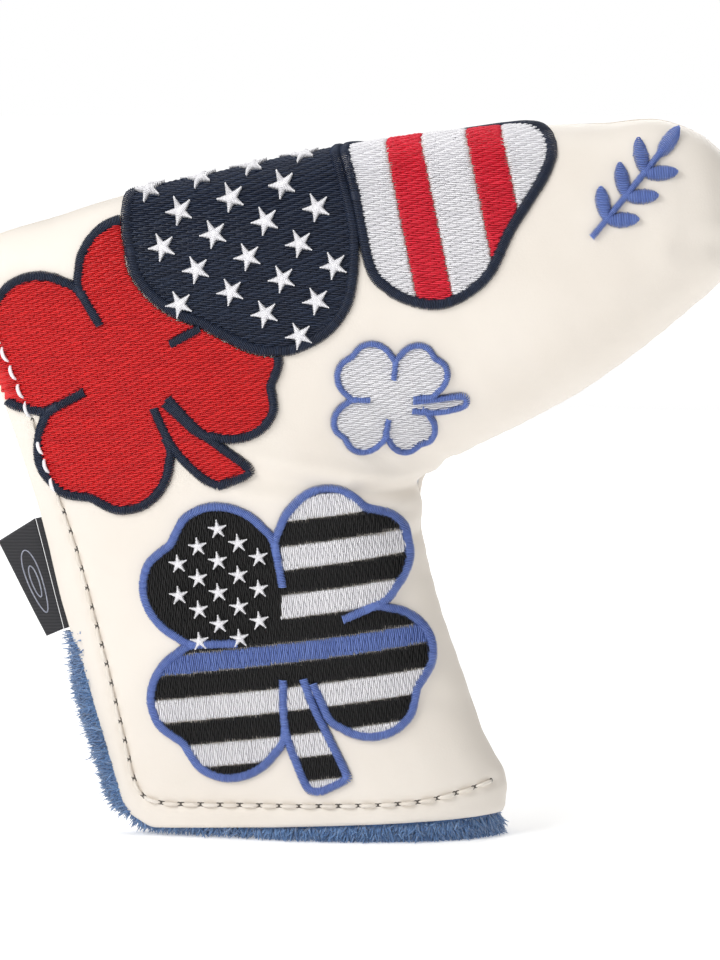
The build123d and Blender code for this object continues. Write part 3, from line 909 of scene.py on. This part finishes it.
def along_row(row, count, local):
    """Random places along a row of points, evenly by length, as fractional indices."""
    lengths = np.cumsum(np.linalg.norm(np.diff(row, axis=0, prepend=row[:1]), axis=1))
    return np.interp(local.uniform(0, lengths[-1], count), lengths, np.arange(len(row)))


def rim_roots(count, low, high, local):
    """Points and outward directions on the lining's hem and heel rims, between two depths."""
    depths = np.linspace(low, high, 7)
    stack = np.stack([inner_grid(d).reshape(ROWS, COLUMNS, 3) for d in depths])
    heel_z = stack[0, :, -1, 2]
    open_rows = int(np.argmax(heel_z > PILE_SHOWS_TO))
    hem, heel = stack[:, 0], stack[:, :open_rows, -1]
    points, directions = [], []
    for strip, many, direction in (
        (hem, count, (-0.1, 0.1, -1.0)), (heel, 3 * count, (-1.0, 0.4, -0.15)),
    ):
        pick = along_row(strip[0], many, local)
        deep = local.uniform(0, 1, many) * (len(depths) - 1)
        points.append(bilinear(strip, deep, pick))
        directions.append(np.tile(direction, (many, 1)))
    face = stack[0]
    many = 6 * count
    pick = along_row(face[0], many, local)
    below = bilinear(face, local.uniform(0, 9, many), pick)
    below = below[below[:, 2] < hem_height(below[:, 0]) + 0.1]
    points.append(below)
    directions.append(np.tile([0.0, -0.25, -1.0], (len(below), 1)))
    return np.vstack(points), np.vstack(directions)


def bilinear(grid, i, j):
    """Points of a grid at fractional row and column numbers."""
    a = np.clip(i.astype(int), 0, grid.shape[0] - 2)
    b = np.clip(j.astype(int), 0, grid.shape[1] - 2)
    u, v = (i - a)[:, None], (j - b)[:, None]
    low = grid[a, b] * (1 - v) + grid[a, b + 1] * v
    return low * (1 - u) + (grid[a + 1, b] * (1 - v) + grid[a + 1, b + 1] * v) * u


RIM_TUFTS, INNER_TUFTS = 6400, 9000
for side, leaf, flip in (("front", "front_leaf", np.ones(3)), ("back", "back_leaf", MIRROR)):
    local = np.random.default_rng(31 if side == "front" else 32)
    roots, directions = rim_roots(RIM_TUFTS // 2, LEATHER + 0.6, WALL, local)
    rim = len(roots)
    deep = inner_grid(WALL).reshape(ROWS, COLUMNS, 3)
    facing = grid_normals(deep.reshape(-1, 3), ROWS, COLUMNS).reshape(ROWS, COLUMNS, 3)
    i = local.uniform(0, ROWS * 0.72, INNER_TUFTS)
    j = local.uniform(0, COLUMNS - 1.01, INNER_TUFTS)
    roots = np.vstack([roots, bilinear(deep, i, j)])
    directions = np.vstack([directions, -bilinear(facing, i, j)]) + local.normal(0, 0.26, (len(roots), 3))
    lengths = local.uniform(1.5, 2.9, len(roots))
    lengths[:rim] *= 1.25
    part = tufts(roots * flip, directions * flip, lengths, seed=41 if side == "front" else 42)
    place_piece(f"{side}_pile", [part], PLUSH, leaf)

# ------------------------------------------------------------------ embroidery

RED_BOX, FLAG_BOX = (-84, 68, -12, 142), (-50, 8, 28, 84)
SMALL_BOX, STAR_BOX, STRIPE_BOX = (-5, 82, 28, 114), (-53, 106, 6, 173), (-6, 116, 51, 176)


def leaf_borders(clover, width):
    """Each leaf's satin line, moved in by half its width except along the slit."""
    centre, leaves = clover
    lines = []
    for start, end, reach in leaves:
        line = leaf_line(centre, start, end, reach)
        from_centre = line - np.array(centre)
        far = np.linalg.norm(from_centre, axis=1)
        share = np.clip((far / reach - 0.56) / 0.16, 0, 1)[:, None]
        aim = normalised(np.array(polar(centre, (start + end) / 2, 0.55 * reach)) - line)
        lines.append(line + aim * share * share * (3 - 2 * share) * width / 2)
    return lines


def clover_border(clover, stems, width, keep, seed):
    """The satin lines of a clover's leaves and stem."""
    parts = []
    for number, line in enumerate(leaf_borders(clover, width)):
        parts += satin(line, width, keep, seed + number)
    for number, stem in enumerate(stems):
        parts += satin(catmull(stem), width, keep, seed + 10 + number)
    return parts


def moved_in(outline, distance):
    """A closed anticlockwise outline, moved inwards."""
    towards = normalised(np.roll(outline, -2, axis=0) - np.roll(outline, 2, axis=0))
    return outline + np.column_stack([-towards[:, 1], towards[:, 0]]) * distance


def petal_border(outline, width, keep, seed):
    """A closed petal's satin line, moved in by half its width."""
    line = moved_in(outline, width / 2)
    return satin(np.vstack([line, line[:3]]), width, keep, seed)


def star_parts(centres, radius, up):
    """Raised satin stars."""
    arm_steps = np.arange(0.0, 1.0, 0.33 / radius)
    starts, ends = [], []
    for centre in np.asarray(centres, float):
        for arm in range(5):
            a = radians(up + 72 * arm)
            axis, side = np.array([cos(a), sin(a)]), np.array([-sin(a), cos(a)])
            for r in arm_steps:
                half = min(0.30 * radius, max(1 - r, 0.05) * 0.40 * radius)
                starts.append(centre + axis * r * radius - side * half)
                ends.append(centre + axis * r * radius + side * half)
    starts, ends = np.array(starts), np.array(ends)
    lines = stitches(starts, ends, 0.25, BORDER_TOP + 0.25, low=0.45, rings=(0, 0.2, 0.5, 0.8, 1))
    return [tubes(*lines)]


def lattice_of(origin, a, b, count, keep):
    """Places of a field's stars: steps of a and b from the origin, kept where keep says so."""
    steps = [(i, j) for i in range(-count, count + 1) for j in range(-count, count + 1)]
    points = np.array([np.array(origin) + i * np.array(a) + j * np.array(b) for i, j in steps])
    return points[keep(points)]


def not_in_petals(p):
    return ~in_petals(p)


red = fill(in_red, RED_BOX, 12, 11)
place_piece("embroidered_red_clover_fill", red, RED, "front_leaf")
red_rim = clover_border(RED_CLOVER, RED_STEM, CLOVER_BORDER, not_in_petals, 100)
place_piece("embroidered_red_clover_border", red_rim, NAVY, "front_leaf")

dark = fill(lambda p: in_flag(p) & (flag_part(p) == 0), FLAG_BOX, BAND[1] + 90, 12)
white = fill(lambda p: in_flag(p) & (flag_part(p) == 1), FLAG_BOX, BAND[1] + 90, 13)
band = fill(lambda p: in_flag(p) & (flag_part(p) == 2), FLAG_BOX, BAND[1] + 90, 14, stitch=6.0)
place_piece("embroidered_flag_clover_dark", dark, BLACK, "front_leaf")
place_piece("embroidered_flag_clover_white", white, WHITE, "front_leaf")
flag_rim = clover_border(FLAG_CLOVER, FLAG_STEM, FLAG_BORDER, None, 200)
place_piece("embroidered_flag_clover_border", band + flag_rim, BLUE, "front_leaf")


def on_flag_quarter(p):
    found = in_flag(p) & (band_offset(p) > BAND[2] / 2 + 1.2) & (p[:, 0] < BAND[0][0] - 2.6)
    for turn in range(0, 360, 45):
        found &= in_flag(p + np.array(polar((0, 0), turn, FLAG_BORDER + 1.9)))
    return found


flag_stars = lattice_of((-32.9, 59.5), (8.9, 0.93), (4.4, 4.03), 8, on_flag_quarter)
place_piece("flag_clover_stars", star_parts(flag_stars, 2.0, BAND[1] + 90), WHITE, "front_leaf")

place_piece("embroidered_small_clover_fill", fill(in_small, SMALL_BOX, 8, 15), WHITE)
small_rim = clover_border(SMALL_CLOVER, SMALL_STEM, SMALL_BORDER, None, 300)
place_piece("embroidered_small_clover_border", small_rim, BLUE)


def off_star(p):
    return ~in_star(p)


def in_star_field(p):
    return inside([moved_in(star_outline, FIELD_INSET)], p)


def in_stripe_field(p):
    return inside([moved_in(stripe_outline, FIELD_INSET)], p) & off_star(p)


place_piece("embroidered_star_petal_field", fill(in_star_field, STAR_BOX, 4, 16), NAVY)
white = fill(lambda p: in_stripe_field(p) & ~petal_red(p), STRIPE_BOX, 3, 17)
place_piece("embroidered_stripe_petal_white", white, WHITE)
red = fill(lambda p: in_stripe_field(p) & petal_red(p), STRIPE_BOX, 3, 18)
place_piece("embroidered_stripe_petal_red", red, STRIPE_RED)

petal_rims = petal_border(star_outline, PETAL_BORDER, None, 400)
petal_rims += petal_border(stripe_outline, PETAL_BORDER, off_star, 401)
place_piece("embroidered_petal_borders", petal_rims, NAVY)


def well_inside_star(p):
    gap = distance_to(np.vstack([star_outline, star_outline[:1]]), p)
    return in_star(p) & (gap > PETAL_BORDER + 0.6)


petal_stars = lattice_of((-29.4, 135.7), (11.36, 2.9), (-3.8, -7.65), 9, well_inside_star)
place_piece("petal_stars", star_parts(petal_stars, 3.1, -100), WHITE)

# ------------------------------------------------------------------ the toe's plain sprig

SPRIG_FOOT, SPRIG_TURN, SPRIG_LENGTH, SPRIG_STEM = (54.0, 135.5), 50.0, 24.0, 1.5
SPRIG_LEAF, SPRIG_LEAF_TURN, SPRIG_PAIRS = (3.7, 1.7), 48.0, 3


def pointed(at):
    """A leaf's width along its length."""
    return 2 * SPRIG_LEAF[1] * np.sqrt(np.clip(1 - (2 * at - 1) ** 2, 0.02, 1))


sprig = satin([SPRIG_FOOT, polar(SPRIG_FOOT, SPRIG_TURN, SPRIG_LENGTH)], SPRIG_STEM, seed=500)
tips = [(polar(SPRIG_FOOT, SPRIG_TURN, SPRIG_LENGTH - 1.0), SPRIG_TURN)]
for pair in range(SPRIG_PAIRS):
    root = polar(SPRIG_FOOT, SPRIG_TURN, SPRIG_LENGTH * (pair + 0.7) / (SPRIG_PAIRS + 0.6))
    tips += [(root, SPRIG_TURN + SPRIG_LEAF_TURN), (root, SPRIG_TURN - SPRIG_LEAF_TURN)]
for number, (root, turn) in enumerate(tips):
    sprig += satin([root, polar(root, turn, 2 * SPRIG_LEAF[0])], pointed, seed=501 + number)
place_piece("embroidered_toe_mark", sprig, BLUE)

# ------------------------------------------------------------------ topstitching

PITCH, LENGTH, THREAD_RADIUS = 4.45, 3.7, 0.46  # of the topstitches


def stitch_line():
    """Where each topstitch starts and ends, in x and z."""
    path = catmull(TOPSTITCH, step=0.3)
    lengths = lengths_along(path)
    count = round(lengths[-1] / PITCH)
    middle = (np.arange(count) + 0.5) * lengths[-1] / count
    return tuple(points_at(path, lengths, middle + sign * LENGTH / 2) for sign in (-1, 1))


def holes(points, normals, radius=0.62):
    """Small dark dimples under the ends of the stitches; their dark colour is painted shade of the needle
    holes.
    """
    return tubes(
        np.stack([points - normals * 0.25, points + normals * 0.02, points + normals * 0.12], axis=1),
        np.broadcast_to(np.array([0.6, 0.1, 0.79]), (len(points), 3, 3)),
        np.array([radius, radius, 0.45 * radius]), sides=6, flat=1.0,
    )


starts, ends = stitch_line()
over_red = in_red((starts + ends) / 2)
for side, leaf, flip in (("front", "front_leaf", np.ones(3)), ("back", "back_leaf", MIRROR)):
    plain = ~over_red if side == "front" else np.ones(len(starts), bool)
    groups = [("topstitching", plain, CREAM_THREAD, 0.78)]
    if side == "front":
        groups.append(("clover_topstitching", over_red, WHITE, 1.35))
    for name, kept, look, rise in groups:
        lines = stitches(
            starts[kept], ends[kept], THREAD_RADIUS, rise, low=0.05,
            rings=(0, 0.07, 0.2, 0.4, 0.6, 0.8, 0.93, 1), thin=0.5,
        )
        verts, quads, _ = tubes(*lines, sides=6)
        place_piece(f"{side}_{name}", [(verts * flip, quads, NO_TRIS)], look, leaf)
    points, normals = on_leather(np.vstack([starts, ends]))
    kept = ~np.isnan(points).any(axis=1)
    if side == "front":
        kept &= ~np.concatenate([over_red, over_red])
    # Dark marks at the stitch ends: painted shade of the needle holes.
    verts, quads, _ = holes(points[kept] * flip, normals[kept] * flip)
    place_piece(f"{side}_needle_holes", [(verts, quads, NO_TRIS)], HOLE_SHADE, leaf)

# ------------------------------------------------------------------ label

LABEL = np.array([(-70.3, 71.4), (-78.6, 66.2), (-67.8, 44.8), (-64.0, 46.4)])
LABEL_THICK, LABEL_ROWS, LABEL_COLUMNS = 0.7, 48, 26
LABEL_CURL = 0.5  # how far the middle of its free side stands towards the front
LABEL_TAB, TAB_THICK = np.array([(-70.15, 71.4), (-64.0, 72.6), (-57.8, 48.4), (-63.85, 46.4)]), 0.45


def label_point(s, t, lift, quad=LABEL, curl=LABEL_CURL):
    """A point of the label: s across from its held side to its free side, t down its length."""
    s, t = np.asarray(s, float)[..., None], np.asarray(t, float)[..., None]
    a, b, c, d = quad
    flat = (a * (1 - s) + b * s) * (1 - t) + (d * (1 - s) + c * s) * t
    wave = -curl * np.sin(pi * t[..., 0]) * s[..., 0] + 0.25 * np.sin(2 * pi * t[..., 0])
    return np.stack([flat[..., 0], wave - lift, flat[..., 1]], axis=-1)


def label_body(quad, curl, thickness):
    """A closed thin strip of the label's fabric over a quadrilateral."""
    s, t = np.meshgrid(np.linspace(0, 1, LABEL_COLUMNS), np.linspace(0, 1, LABEL_ROWS))
    near = label_point(s, t, thickness / 2, quad, curl).reshape(-1, 3)
    far = label_point(s, t, -thickness / 2, quad, curl).reshape(-1, 3)
    return walls(near, far, LABEL_ROWS, LABEL_COLUMNS)


def label_line(points):
    """A closed thin woven line on the label, through points (s, t)."""
    line = catmull(points, True, step=0.02)
    line = np.vstack([line, line[:1]])
    starts, ends = line[:-1], line[1:]
    at = np.linspace(-0.05, 1.05, 3)[None, :, None]
    path = starts[:, None] * (1 - at) + ends[:, None] * at
    centres = label_point(path[..., 0], path[..., 1], LABEL_THICK / 2 + 0.06)
    normals = np.broadcast_to(np.array([0.0, -1.0, 0.0]), centres.shape)
    return tubes(centres, normals, np.array([0.16, 0.17, 0.16]), flat=0.5)


verts, quads, _ = label_body(LABEL, LABEL_CURL, LABEL_THICK)
label = make_mesh("woven_label", verts, quads, LABEL_BLACK, "label")
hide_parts("label")
verts, quads, _ = label_body(LABEL_TAB, 0.0, TAB_THICK)
tab = make_mesh("woven_label_tab", verts, quads, LABEL_BLACK, "back_leaf")
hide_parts("back_leaf_label_tab")
ring = [(0.52 + 0.24 * cos(a), 0.5 + 0.30 * sin(a)) for a in np.linspace(0, 2 * pi, 13)[:-1]]
inner_ring = [(0.52 + 0.12 * cos(a), 0.5 + 0.15 * sin(a)) for a in np.linspace(0, 2 * pi, 9)[:-1]]
verts, quads, caps = joined([label_line(ring), label_line(inner_ring)])
make_mesh("woven_label_mark", verts, quads, LABEL_GREY, "label", tris=caps)

# ------------------------------------------------------------------ the CAD's embroidery and topstitching parts, hidden

for name in (
    "red_clover_fill", "red_clover_border", "flag_clover_dark", "flag_clover_white", "flag_clover_border",
    "small_clover_fill", "small_clover_border", "star_petal_field", "petal_borders",
    "stripe_petal_white", "stripe_petal_red", "toe_mark",
):
    nodes = [node for node in (name, f"front_leaf_{name}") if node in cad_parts]
    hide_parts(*nodes)
bands = ("flag_clover_band", "front_leaf_flag_clover_band")
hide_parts(*bands)
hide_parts("topstitching", "front_leaf_topstitching")
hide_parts("back_leaf_topstitching")

# ------------------------------------------------------------------ floor, light and camera


def floor_material():
    material, nodes, links, shader = node_material("paper_floor")
    where = nodes.new("ShaderNodeTexCoord").outputs["Object"]
    clouds = noise(nodes, links, 3, 2, where)
    ramp(nodes, links, clouds.outputs["Fac"], shader, (0.86, 0.86, 0.86), (0.88, 0.88, 0.88))
    shader.inputs["Roughness"].default_value = 0.85
    shader.inputs["Emission Color"].default_value = (1, 1, 1, 1)
    distance = nodes.new("ShaderNodeVectorMath")
    distance.operation = "LENGTH"
    links.new(where, distance.inputs[0])
    glow = nodes.new("ShaderNodeMapRange")
    glow.inputs["From Min"].default_value, glow.inputs["From Max"].default_value = 0.4, 2.0
    glow.inputs["To Min"].default_value, glow.inputs["To Max"].default_value = FLOOR_GLOW_NEAR, FLOOR_GLOW_FAR
    links.new(distance.outputs["Value"], glow.inputs["Value"])
    links.new(glow.outputs["Result"], shader.inputs["Emission Strength"])
    return material


def area_light(name, place, aim, size, power):
    data = bpy.data.lights.new(name, "AREA")
    data.shape, data.size, data.size_y = "RECTANGLE", size[0], size[1]
    data.energy = power
    light = bpy.data.objects.new(name, data)
    bpy.context.scene.collection.objects.link(light)
    light.location = place
    light.rotation_euler = (Vector(aim) - Vector(place)).to_track_quat("-Z", "Y").to_euler()


FLOOR_REACH = 8.0
FLOOR_GLOW_NEAR, FLOOR_GLOW_FAR = 0.36, 0.90  # keeps the paper white beyond the lights' reach
corners = np.array([(x, y, 0.0) for y in (-FLOOR_REACH, FLOOR_REACH) for x in (-FLOOR_REACH, FLOOR_REACH)])
floor = make_mesh("floor", corners / MM, grid_quads(2, 2), floor_material(), None)

WORLD_LIGHT, WORLD_SEEN = 0.22, 1.0  # the studio's soft light, and how bright its walls look
world = bpy.data.worlds.new("studio")
bpy.context.scene.world = world
world.use_nodes = True
background = world.node_tree.nodes["Background"]
background.inputs["Color"].default_value = (1, 1, 1, 1)
seen = world.node_tree.nodes.new("ShaderNodeLightPath").outputs["Is Camera Ray"]
strength = world.node_tree.nodes.new("ShaderNodeMapRange")
strength.inputs["To Min"].default_value, strength.inputs["To Max"].default_value = WORLD_LIGHT, WORLD_SEEN
world.node_tree.links.new(seen, strength.inputs["Value"])
world.node_tree.links.new(strength.outputs["Result"], background.inputs["Strength"])
AIM = (0.0028, 0.0, 0.08)
area_light("key", (-0.75, -0.75, 0.75), AIM, (0.6, 0.6), 9.5)
area_light("fill", (0.9, -0.7, 0.35), AIM, (0.6, 0.6), 1.6)
area_light("behind", (0.3, 1.1, 0.6), AIM, (0.8, 0.8), 5.0)
area_light("top", (-0.1, 0.1, 1.2), AIM, (1.0, 0.7), 5.0)

CAMERA_DISTANCE, CAMERA_RISE, LENS = 1.4, 4.5, 155.6
camera_data = bpy.data.cameras.new("camera")
camera_data.sensor_fit, camera_data.sensor_height, camera_data.lens = "VERTICAL", 24, LENS
camera = bpy.data.objects.new("camera", camera_data)
bpy.context.scene.collection.objects.link(camera)
rise = radians(CAMERA_RISE)
camera.location = (AIM[0], -CAMERA_DISTANCE * cos(rise), AIM[2] + CAMERA_DISTANCE * sin(rise))
camera.rotation_euler = (Vector(AIM) - camera.location).to_track_quat("-Z", "Y").to_euler()
bpy.context.scene.camera = camera
bpy.context.scene.view_settings.view_transform = "Standard"
